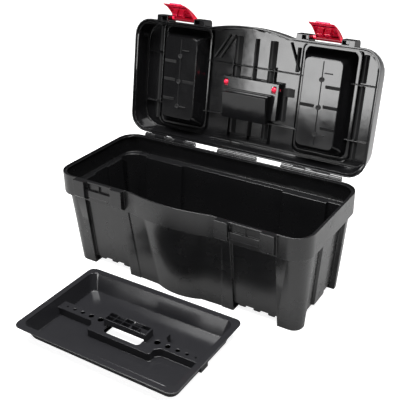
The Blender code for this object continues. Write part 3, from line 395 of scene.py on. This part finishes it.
def rim_bead(node, name, plane, place, inward, drop, width, thick):
    """A bead inside a shell's rim: the rim's inner outline, drawn in by `inward` along x and y."""
    piece = merged_copy(node, name)
    mesh = piece.data
    bpy.ops.mesh.select_mode(type="FACE")
    bpy.ops.mesh.select_all(action="DESELECT")
    shape = bmesh.from_edit_mesh(mesh)
    bmesh.ops.transform(shape, matrix=place.inverted(), verts=shape.verts)
    for face in shape.faces:
        face.select_set(all(abs(v.co.z - plane) < ON_PLANE for v in face.verts))
    bmesh.update_edit_mesh(mesh)
    bpy.ops.mesh.select_all(action="INVERT")
    bpy.ops.mesh.delete(type="FACE")
    shape = bmesh.from_edit_mesh(mesh)
    loops = outlines_of(shape)
    largest = max(reach(loop) for loop in loops)
    inner = max((loop for loop in loops if reach(loop) < largest - LEAST_WALL), key=reach)
    bpy.ops.mesh.select_mode(type="EDGE")
    bpy.ops.mesh.select_all(action="DESELECT")
    for line in inner:
        line.select_set(True)
    corners = [v.co.copy() for line in inner for v in line.verts]
    bmesh.update_edit_mesh(mesh)
    low = Vector([min(c[i] for c in corners) for i in range(3)])
    high = Vector([max(c[i] for c in corners) for i in range(3)])
    middle, half = (low + high) / 2, (high - low) / 2
    bpy.ops.mesh.select_all(action="INVERT")
    bpy.ops.mesh.delete(type="EDGE")
    bpy.ops.mesh.select_all(action="SELECT")
    shrink_about(middle, half, *inward)
    bpy.ops.transform.translate(value=(0.0, 0.0, drop))
    middle.z += drop
    bpy.ops.mesh.extrude_edges_move(TRANSFORM_OT_translate={"value": (0.0, 0.0, 0.0)})
    shrink_about(middle, half, width, width)
    bpy.ops.object.mode_set(mode="OBJECT")
    apply_modifier(piece, "SOLIDIFY", thickness=thick, offset=0.0)
    bpy.ops.object.mode_set(mode="EDIT")
    bpy.ops.mesh.select_all(action="SELECT")
    bpy.ops.mesh.normals_make_consistent(inside=False)
    bpy.ops.object.mode_set(mode="OBJECT")
    apply_modifier(piece, "BEVEL", width=BEAD_EDGE, segments=2, limit_method="ANGLE")
    piece.data.transform(place)
    smooth_shading(piece)
    return piece


def finish_piece(piece, body, slot, material, *stands_for):
    piece.data.materials.append(material)
    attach(piece, body)
    if stands_for:
        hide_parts(*stands_for)


class ToolboxSettings(bpy.types.PropertyGroup):
    """What a user would change about the mouldings."""
    edge: FloatProperty(name="Edge radius", description="Rounding of the mouldings' sharp edges",
                        default=0.5 * MM, min=0.1 * MM, max=1.0 * MM, unit="LENGTH")
    black: StringProperty(name="Black", description="The plastic's colour, as sRGB hex",
                          default="0F0F10")
    tray_black: StringProperty(name="Tray black", description="The tray's colour, as sRGB hex",
                               default="1C1C1E")
    red: StringProperty(name="Red", description="The latches' and handle's colour, as sRGB hex",
                        default="E41C40")
    clear: StringProperty(name="Clear", description="The covers' tint, as sRGB hex",
                          default="F2F6F8")
    steel: StringProperty(name="Steel", description="The pins' colour, as sRGB hex",
                          default="C9CACC")


def settings():
    return bpy.context.scene.toolbox


def finish_of(maker, colour):
    """The material that a maker function makes, made once."""
    return bpy.data.materials.get(maker.__name__) or maker(colour)


# How many edge radii each moulding's edges are rounded by.
BASE_ROUNDING = 1.5
LID_ROUNDING = 1.3
TRAY_ROUNDING = 1.6
HANDLE_ROUNDING = 2

BASE_BEAD = {"inward": (0.4 * MM, 0.4 * MM), "drop": -3.4 * MM, "width": 3.4 * MM,
             "thick": 1.2 * MM}
LID_BEAD = {"inward": (1.4 * MM, 1.4 * MM), "drop": 3.6 * MM, "width": 2.6 * MM,
            "thick": 1.2 * MM}
TRAY_BEADS = {
    "tray_lip_bead": {"inward": (-1.2 * MM, -1.2 * MM), "drop": -0.5 * MM},
    "tray_foot_bead": {"inward": (6.6 * MM, 11.2 * MM), "drop": -30.6 * MM},
}


class TOOLBOX_OT_mould_base(bpy.types.Operator):
    """The box body with its rim, lugs, strike bars, knuckles and feet"""
    bl_idname = "toolbox.mould_base"
    bl_label = "Box body"

    def execute(self, context):
        base = moulding("base_shell", "box_body", BASE_ROUNDING * settings().edge, 3)
        satin = finish_of(satin_black_polypropylene, settings().black)
        finish_piece(base, "box", "black_polypropylene", satin, "base_shell")
        bead = rim_bead("base_shell", "box_rim_bead", BASE_RIM, Matrix(), **BASE_BEAD)
        finish_piece(bead, "box", "black_polypropylene", satin)
        return {"FINISHED"}


MARKS_HALF_X, MARKS_HALF_Y, MARKS_HALF_Z = 35.5 * MM, 81 * MM, 2.5 * MM
LUG_HOLLOW_NEAR, LUG_HOLLOW_FAR = 33 * MM, 45 * MM
LUG_HOLLOW_FRONT, LUG_HOLLOW_REAR = LID_FRONT - 8.7 * MM, LID_FRONT - 1.2 * MM
LUG_HOLLOW_LOW, LUG_HOLLOW_HIGH = -2 * MM, 10 * MM


def on_well_face(place):
    """Whether a point lies among the small marks on a well's underside."""
    local = LID_PLACE.inverted() @ place
    across, along = abs(abs(local.x) - WELL_X), abs(local.y - WELL_Y)
    height = abs(local.z - WELL_FACE_Z)
    return across < MARKS_HALF_X and along < MARKS_HALF_Y and height < MARKS_HALF_Z


def joined_lid_cutter():
    """The hollows in the latch lugs, open towards the box."""
    hollows = []
    for centre in (-WELL_X, WELL_X):
        for way in (-1, 1):
            low, high = sorted((centre + way * LUG_HOLLOW_NEAR, centre + way * LUG_HOLLOW_FAR))
            hollows.append(block((low, LUG_HOLLOW_FRONT, LUG_HOLLOW_LOW),
                                 (high, LUG_HOLLOW_REAR, LUG_HOLLOW_HIGH)))
    select_only(*hollows)
    bpy.ops.object.join()
    return into_lid(bpy.context.view_layer.objects.active)


class TOOLBOX_OT_mould_lid(bpy.types.Operator):
    """The lid with its wells, ribs, lugs, knuckles and handle pocket"""
    bl_idname = "toolbox.mould_lid"
    bl_label = "Lid"

    def execute(self, context):
        lid = moulding("lid_shell", "lid", LID_ROUNDING * settings().edge, 3,
                       keep_sharp=on_well_face, cutters=[joined_lid_cutter()])
        polished = finish_of(polished_black_polypropylene, settings().black)
        finish_piece(lid, "lid", "glossy_black_polypropylene", polished, "lid_shell")
        bead = rim_bead("lid_shell", "lid_rim_bead", 0.0, LID_PLACE, **LID_BEAD)
        finish_piece(bead, "lid", "glossy_black_polypropylene", polished)
        return {"FINISHED"}


def boss(centre, radius, height):
    """A round boss that stands in from the lid, with a dished end."""
    bpy.ops.object.select_all(action="DESELECT")
    bpy.ops.mesh.primitive_cylinder_add(vertices=24, radius=radius, depth=height, location=centre)
    piece = bpy.context.view_layer.objects.active
    bpy.ops.object.mode_set(mode="EDIT")
    bpy.ops.mesh.select_mode(type="FACE")
    bpy.ops.mesh.select_all(action="DESELECT")
    shape = bmesh.from_edit_mesh(piece.data)
    for face in shape.faces:
        face.select = face.normal.z < -0.9
    bmesh.update_edit_mesh(piece.data)
    bpy.ops.mesh.inset(thickness=0.35 * radius)
    bpy.ops.mesh.inset(thickness=0.1 * radius)
    bpy.ops.transform.translate(value=(0.0, 0.0, 0.4 * height))
    bpy.ops.object.mode_set(mode="OBJECT")
    bpy.ops.object.transform_apply(location=True, rotation=True, scale=True)
    return piece


def dome(centre, radius, height):
    """A round cap that bulges in from the lid."""
    bpy.ops.object.select_all(action="DESELECT")
    bpy.ops.mesh.primitive_uv_sphere_add(segments=24, ring_count=12, radius=radius, location=centre)
    piece = bpy.context.view_layer.objects.active
    piece.scale = (1.0, 1.0, height / radius)
    bpy.ops.object.transform_apply(location=True, rotation=True, scale=True)
    bpy.ops.object.mode_set(mode="EDIT")
    bpy.ops.mesh.select_all(action="SELECT")
    bpy.ops.mesh.bisect(plane_co=centre, plane_no=(0.0, 0.0, 1.0), use_fill=True, clear_outer=True)
    bpy.ops.object.mode_set(mode="OBJECT")
    return piece


def lid_ridges(spans, top, height, narrow=0.15):
    """Roof-shaped ridges along the lid, each from (x, y) to (x, y), standing in from `top`."""
    return [block((x0, y0, top - height), (x1, y1, top + 0.4 * MM), (narrow, 1.0))
            for x0, y0, x1, y1 in spans]


# In millimetres, in the lid's own frame. Bands round a well: half sizes, corner, width, height.
WELL_BANDS = ((56.5, 104, 13, 5, 3.2), (58.5, 107.5, 15, 1.2, 6.5))
WELL_BAND_SHIFT = 2.5
WELL_PLATE = (37, 82.5, 9, 0.0, 1.2)
# Ridges beside each well: near and far x, then their y spans.
OUTER_RIDGE = (217, 229)
OUTER_RIDGE_SPANS = ((-226, -175), (-169, -70), (-65, -32))
# Bars where the dividers stand, as y, near x and far x from the well's middle.
DIVIDER_BARS = ((-162.3, 9, 36.5), (-125.2, 9, 36.5), (-85.0, 9, 36.5), (-124.0, -36.5, -9))
SHORT_MARKS = (-186.9, -71.8)
BOSS_ROWS = (-174.6, -122.8, -71.8)
# The skin over the handle's pocket: low corner, high corner and slope.
POCKET_SKIN = ((-48, -121, 3.5), (48, -70, 12), 7)
CENTRE_CHANNELS = ((-48, -30), (-5, 6), (28, 46))
CENTRE_SPANS = ((-227, -174), (-169, -149), (-65, -34))
# Slanted ribs near the front edge: x, degrees and width.
SLANTED_RIBS = ((-76, 33, 3.0), (-64, 33, 3.0), (84, -24, 2.4))
SLANTED_SPAN = (-232, -204, -176)
# Short channels by the right well, each from (x, y) to (x, y).
RIGHT_CHANNELS = ((86, -222, 95, -176), (66, -142, 92, -126), (66, -126, 78, -76))


def span(x0, y0, x1, y1):
    return x0 * MM, y0 * MM, x1 * MM, y1 * MM


def in_metres(values):
    return tuple(value * MM for value in values)


class TOOLBOX_OT_rib_lid(bpy.types.Operator):
    """The bands round the wells, the channels between the panels, and the wells' marks"""
    bl_idname = "toolbox.rib_lid"
    bl_label = "Lid ribs and marks"

    def execute(self, context):
        polished = finish_of(polished_black_polypropylene, settings().black)
        bands, channels, marks, bars, plates = [], [], [], [], []
        face = WELL_FACE_Z - 1.0 * MM
        for side in (-1, 1):
            middle = (side * (WELL_X + WELL_BAND_SHIFT * MM), WELL_Y, CEILING_Z + 0.2 * MM)
            bands += [band(middle, *in_metres(sizes)) for sizes in WELL_BANDS]
            low, high = sorted((side * OUTER_RIDGE[0] * MM, side * OUTER_RIDGE[1] * MM))
            for start, end in OUTER_RIDGE_SPANS:
                channels += lid_ridges([(low, start * MM, high, end * MM)], CEILING_Z, 4.5 * MM)
            plates.append(band((side * WELL_X, WELL_Y, WELL_FACE_Z + 0.2 * MM),
                               *in_metres(WELL_PLATE)))
            for row, near, far in DIVIDER_BARS:
                low, high = sorted((side * (WELL_X + near * MM), side * (WELL_X + far * MM)))
                start, end = (row - 3.0) * MM, (row + 3.0) * MM
                bar = block((low, start, face - 2.4 * MM), (high, end, face + 0.3 * MM))
                bars.append(sloped(bar, start, end, 2.2 * MM))
            marks += lid_ridges([(side * WELL_X - 1.3 * MM, -208 * MM,
                                  side * WELL_X + 1.3 * MM, -51 * MM)], face, 1.6 * MM)
            for row in SHORT_MARKS:
                marks.append(block((side * WELL_X + 4 * MM, (row - 1.0) * MM, face - 1.5 * MM),
                                   (side * WELL_X + 20 * MM, (row + 1.0) * MM, face + 0.3 * MM)))
            for row in BOSS_ROWS:
                place = (side * WELL_X, row * MM, face - 1.0 * MM)
                marks.append(boss(place, 4.6 * MM, 3.0 * MM))
        low, high, rise = POCKET_SKIN
        pocket = block(in_metres(low), in_metres(high))
        skins = [sloped(pocket, low[1] * MM, high[1] * MM, rise * MM)]
        for x0, x1 in CENTRE_CHANNELS:
            for start, end in CENTRE_SPANS:
                channels += lid_ridges([span(x0, start, x1, end)], CEILING_Z, 6.0 * MM)
        start, middle, end = SLANTED_SPAN
        for x, angle, width in SLANTED_RIBS:
            rib = block(((x - width / 2) * MM, start * MM, CEILING_Z - 5 * MM),
                        ((x + width / 2) * MM, end * MM, CEILING_Z + 0.4 * MM))
            channels.append(turned(rib, (x * MM, middle * MM, CEILING_Z), math.radians(angle)))
        channels += lid_ridges([span(*corners) for corners in RIGHT_CHANNELS], CEILING_Z, 5.0 * MM)
        dull = finish_of(eroded_black_polypropylene, settings().black)
        for name, pieces, edge, finish in (
                ("lid_well_bands", bands, 0.4 * MM, polished),
                ("lid_well_plates", plates, 0.3 * MM, polished),
                ("lid_well_marks", marks, 0.2 * MM, dull),
                ("lid_pocket_skin", skins, 0.8 * MM, polished),
                ("lid_channels", channels, 0.3 * MM, dull),
                ("lid_divider_marks", bars, 0.2 * MM, dull)):
            piece = into_lid(joined(name, pieces, edge))
            finish_piece(piece, "lid", "glossy_black_polypropylene", finish)
        return {"FINISHED"}


# The tray's grip with its pockets, from the tray's middle: half sizes, and the height of its foot.
GRIP_HALF_X, GRIP_HALF_Y, GRIP_FOOT = 44 * MM, 9.6 * MM, 20 * MM
# Dark sheets under the spine, as two x spans from the middle, and plates under the block beside the
# slot: painted shade that stands for the shade under the spine, so the tool holes and the slot show
# dark instead of the floor.
SHADE_SHEET_SPANS = ((-150, -42), (42, 150))
SHADE_SHEET_HALF_Y, SHADE_SHEET_LOW, SHADE_SHEET_HIGH = 8.1 * MM, 6.0 * MM, 7.4 * MM
SHADE_SHEET_NARROW = (0.98, 0.9)
PLATE_NEAR, PLATE_FAR, PLATE_HALF_Y = 40 * MM, 64 * MM, 26 * MM
# Caps that close the spine's ends outside the tray's short walls: painted shade for the dark ends
# of the hollow spine.
CAP_NEAR, CAP_FAR, CAP_HALF_Y = 147 * MM, 154.3 * MM, 10.4 * MM
CAP_LOW, CAP_HIGH = 0.8 * MM, 17.6 * MM


class TOOLBOX_OT_mould_tray(bpy.types.Operator):
    """The lift-out tray with its spine, tool holes and grip"""
    bl_idname = "toolbox.mould_tray"
    bl_label = "Lift-out tray"

    def execute(self, context):
        low, high = (Vector(corner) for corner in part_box("lift_out_tray"))
        middle = (low + high) / 2

        def in_grip_pockets(place):
            across, along = abs(place.x - middle.x), abs(place.y - middle.y)
            return across < GRIP_HALF_X and along < GRIP_HALF_Y and place.z > GRIP_FOOT

        tray = moulding("lift_out_tray", "tray", TRAY_ROUNDING * settings().edge, 3,
                        keep_sharp=in_grip_pockets)
        slot = "glossy_black_polypropylene"
        finish = finish_of(fine_black_polypropylene, settings().tray_black)
        finish_piece(tray, "tray", slot, finish, "lift_out_tray")
        # Dark sheets, plates and caps under and beside the spine: painted shade that hides the
        # floor seen through the tool holes, the slot and the spine's ends.
        shade_sheets = []
        for start, end in SHADE_SHEET_SPANS:
            shade_sheets.append(block((middle.x + start * MM, middle.y - SHADE_SHEET_HALF_Y, SHADE_SHEET_LOW),
                              (middle.x + end * MM, middle.y + SHADE_SHEET_HALF_Y, SHADE_SHEET_HIGH), SHADE_SHEET_NARROW))
        for side in (-1, 1):
            near, far = sorted((middle.x + side * PLATE_NEAR, middle.x + side * PLATE_FAR))
            shade_sheets.append(block((near, middle.y - PLATE_HALF_Y, SHADE_SHEET_LOW),
                              (far, middle.y + PLATE_HALF_Y, SHADE_SHEET_HIGH)))
            near, far = sorted((middle.x + side * CAP_NEAR, middle.x + side * CAP_FAR))
            shade_sheets.append(block((near, middle.y - CAP_HALF_Y, CAP_LOW),
                              (far, middle.y + CAP_HALF_Y, CAP_HIGH)))
        finish_piece(joined("tray_spine_shade_sheets", shade_sheets, 0.2 * MM), "tray", slot, finish)
        for name, course in TRAY_BEADS.items():
            bead = rim_bead("lift_out_tray", name, high.z, Matrix(), width=1.6 * MM, thick=1.0 * MM,
                            **course)
            finish_piece(bead, "tray", slot, finish)
        return {"FINISHED"}


class TOOLBOX_OT_mould_latches(bpy.types.Operator):
    """The two red latches"""
    bl_idname = "toolbox.mould_latches"
    bl_label = "Latches"

    def execute(self, context):
        red = finish_of(glossy_red_polypropylene, settings().red)
        for side in ("left", "right"):
            latch = moulding(f"latch_{side}", f"latch_lever_{side}", settings().edge)
            finish_piece(latch, f"latch_{side}", "red_polypropylene", red, f"latch_{side}")
        return {"FINISHED"}


PIVOT_X, PIVOT_Y, PIVOT_Z = 53.5 * MM, -136.6 * MM, 27.0 * MM
PIVOT_RADIUS, PIVOT_HEIGHT = 5.4 * MM, 4.0 * MM


class TOOLBOX_OT_mould_handle(bpy.types.Operator):
    """The folding carry handle"""
    bl_idname = "toolbox.mould_handle"
    bl_label = "Carry handle"

    def execute(self, context):
        red = finish_of(glossy_red_polypropylene, settings().red)
        caps = [dome((side * PIVOT_X, PIVOT_Y, PIVOT_Z), PIVOT_RADIUS, PIVOT_HEIGHT)
                for side in (-1, 1)]
        caps = into_lid(joined("handle_pivot_caps", caps))
        finish_piece(caps, "lid", "red_polypropylene", red)
        handle = moulding("carry_handle", "handle", HANDLE_ROUNDING * settings().edge, 3)
        finish_piece(handle, "handle", "red_polypropylene", red, "carry_handle")
        return {"FINISHED"}


class TOOLBOX_OT_mould_organisers(bpy.types.Operator):
    """The organisers' clear covers and loose dividers"""
    bl_idname = "toolbox.mould_organisers"
    bl_label = "Covers and dividers"

    def execute(self, context):
        clear = finish_of(clear_polystyrene, settings().clear)
        for side in ("left", "right"):
            node = f"organiser_cover_{side}"
            cover = moulding(node, f"clear_cover_{side}", settings().edge / 2)
            finish_piece(cover, f"cover_{side}", "clear_polystyrene", clear, node)
        for node in sorted(NODES):
            if node.startswith("divider"):
                wall = moulding(node, f"loose_{node}", settings().edge)
                finish_piece(wall, "lid", "glossy_black_polypropylene",
                             finish_of(polished_black_polypropylene, settings().black), node)
        return {"FINISHED"}


class TOOLBOX_OT_draw_pins(bpy.types.Operator):
    """The steel pins of the hinge and of the latches"""
    bl_idname = "toolbox.draw_pins"
    bl_label = "Pins"

    def execute(self, context):
        for node, body in (("hinge_pin_left", "box"), ("hinge_pin_right", "box"),
                           ("latch_pin_left", "lid"), ("latch_pin_right", "lid")):
            pin = moulding(node, f"steel_{node}", settings().edge, 3)
            steel = finish_of(drawn_steel_wire, settings().steel)
            finish_piece(pin, body, "bright_steel", steel, node)
        return {"FINISHED"}


CAMERA_PLACE = Vector((0.65, -1.0303, 0.7869))
CAMERA_YAW = math.radians(32.63)
CAMERA_PITCH = math.radians(27.36)
CAMERA_ROLL = math.radians(-0.95)
CAMERA_LENS = 64.9

# Each softbox: its place, what it faces, its width and height, and its watts.
SOFTBOXES = {
    "overhead_softbox": ((0.0, -0.35, 2.2), (0.0, -0.2, 0.0), 2.2, 1.3, 160),
    "front_softbox": ((-0.88, -2.64, 0.61), (0.1, 0.1, 0.36), 1.05, 0.78, 28),
    "rear_right_softbox": ((1.15, 0.75, 1.3), (0.75, 0.45, 0.0), 0.8, 0.8, 12),
}
WHITE = (1.0, 1.0, 1.0, 1.0)
PAPER_WHITE = (0.47, 0.47, 0.47, 1.0)
PAPER_GLOW = 0.9
ROOM_LIGHT = 0.05
FLOOR_SIZE = 14.0


def add_softbox(name, place, target, width, height, power):
    light = bpy.data.lights.new(name, "AREA")
    light.shape = "RECTANGLE"
    light.size, light.size_y = width, height
    light.energy = power
    lamp = bpy.data.objects.new(name, light)
    bpy.context.scene.collection.objects.link(lamp)
    lamp.location = place
    lamp.rotation_euler = (Vector(target) - Vector(place)).to_track_quat("-Z", "Y").to_euler()


def add_camera():
    """The camera, from its yaw, its pitch below the horizon, and its roll."""
    yaw, pitch, roll = CAMERA_YAW, CAMERA_PITCH, CAMERA_ROLL
    ahead = Vector((-math.sin(yaw) * math.cos(pitch), math.cos(yaw) * math.cos(pitch),
                    -math.sin(pitch)))
    level = Vector((math.cos(yaw), math.sin(yaw), 0.0))
    rise = level.cross(ahead)
    right = level * math.cos(roll) + rise * math.sin(roll)
    up = rise * math.cos(roll) - level * math.sin(roll)
    turn = Matrix((right, up, -ahead)).transposed().to_4x4()
    camera = bpy.data.objects.new("camera", bpy.data.cameras.new("camera"))
    bpy.context.scene.collection.objects.link(camera)
    camera.matrix_world = Matrix.Translation(CAMERA_PLACE) @ turn
    camera.data.lens = CAMERA_LENS
    camera.data.clip_start, camera.data.clip_end = 0.05, 50.0
    bpy.context.scene.camera = camera


def white_paper():
    # Matt white paper. It glows a little for the camera, as an overlit studio sweep does.
    material, tree, place, shader = new_material("white_paper")
    direct = add_node(tree, "ShaderNodeLightPath").outputs["Is Camera Ray"]
    glow = add_node(tree, "ShaderNodeMath", settings={"operation": "MULTIPLY"})
    tree.links.new(direct, glow.inputs[0])
    glow.inputs[1].default_value = PAPER_GLOW
    tree.links.new(glow.outputs["Value"], shader.inputs["Emission Strength"])
    shader.inputs["Emission Color"].default_value = WHITE
    shader.inputs["Base Color"].default_value = PAPER_WHITE
    shader.inputs["Roughness"].default_value = 1.0
    return material


def set_surroundings(scene):
    """White beyond the floor for the camera, and a dim room for everything else."""
    world = bpy.data.worlds.new("studio")
    scene.world = world
    world.use_nodes = True
    tree = world.node_tree
    room = tree.nodes["Background"]
    room.inputs["Color"].default_value = WHITE
    room.inputs["Strength"].default_value = ROOM_LIGHT
    white = add_node(tree, "ShaderNodeBackground", values={"Color": WHITE, "Strength": 1.0})
    direct = add_node(tree, "ShaderNodeLightPath").outputs["Is Camera Ray"]
    mix = add_node(tree, "ShaderNodeMixShader")
    tree.links.new(direct, mix.inputs[0])
    tree.links.new(room.outputs["Background"], mix.inputs[1])
    tree.links.new(white.outputs["Background"], mix.inputs[2])
    tree.links.new(mix.outputs["Shader"], tree.nodes["World Output"].inputs["Surface"])


class TOOLBOX_OT_set_studio(bpy.types.Operator):
    """The pale floor, the soft lights and the camera"""
    bl_idname = "toolbox.set_studio"
    bl_label = "Studio"

    def execute(self, context):
        scene = bpy.context.scene
        scene.view_settings.view_transform = "Standard"
        bpy.ops.object.select_all(action="DESELECT")
        bpy.ops.mesh.primitive_plane_add(size=FLOOR_SIZE, location=(0.0, 0.0, 0.0))
        floor = bpy.context.view_layer.objects.active
        floor.name = "floor"
        floor.data.materials.append(white_paper())
        set_surroundings(scene)
        for name, setting in SOFTBOXES.items():
            add_softbox(name, *setting)
        add_camera()
        return {"FINISHED"}


class TOOLBOX_PT_panel(bpy.types.Panel):
    """The toolbox's settings and the pieces that can be made"""
    bl_idname = "TOOLBOX_PT_panel"
    bl_label = "Open toolbox with tray"
    bl_space_type = "VIEW_3D"
    bl_region_type = "UI"
    bl_category = "Toolbox"

    def draw(self, context):
        for name in ("edge", "black", "tray_black", "red", "clear", "steel"):
            self.layout.prop(context.scene.toolbox, name)
        for operator in OPERATORS:
            self.layout.operator(operator.bl_idname)


OPERATORS = (TOOLBOX_OT_mould_base, TOOLBOX_OT_mould_lid, TOOLBOX_OT_rib_lid,
             TOOLBOX_OT_mould_tray, TOOLBOX_OT_mould_latches, TOOLBOX_OT_mould_handle,
             TOOLBOX_OT_mould_organisers, TOOLBOX_OT_draw_pins, TOOLBOX_OT_set_studio)
CLASSES = (ToolboxSettings, *OPERATORS, TOOLBOX_PT_panel)


def register():
    for kind in CLASSES:
        bpy.utils.register_class(kind)
    bpy.types.Scene.toolbox = PointerProperty(type=ToolboxSettings)


def unregister():
    del bpy.types.Scene.toolbox
    for kind in reversed(CLASSES):
        bpy.utils.unregister_class(kind)


def main():
    register()
    for operator in OPERATORS:
        group, name = operator.bl_idname.split(".")
        getattr(getattr(bpy.ops, group), name)()


if __name__ == "__main__":
    main()
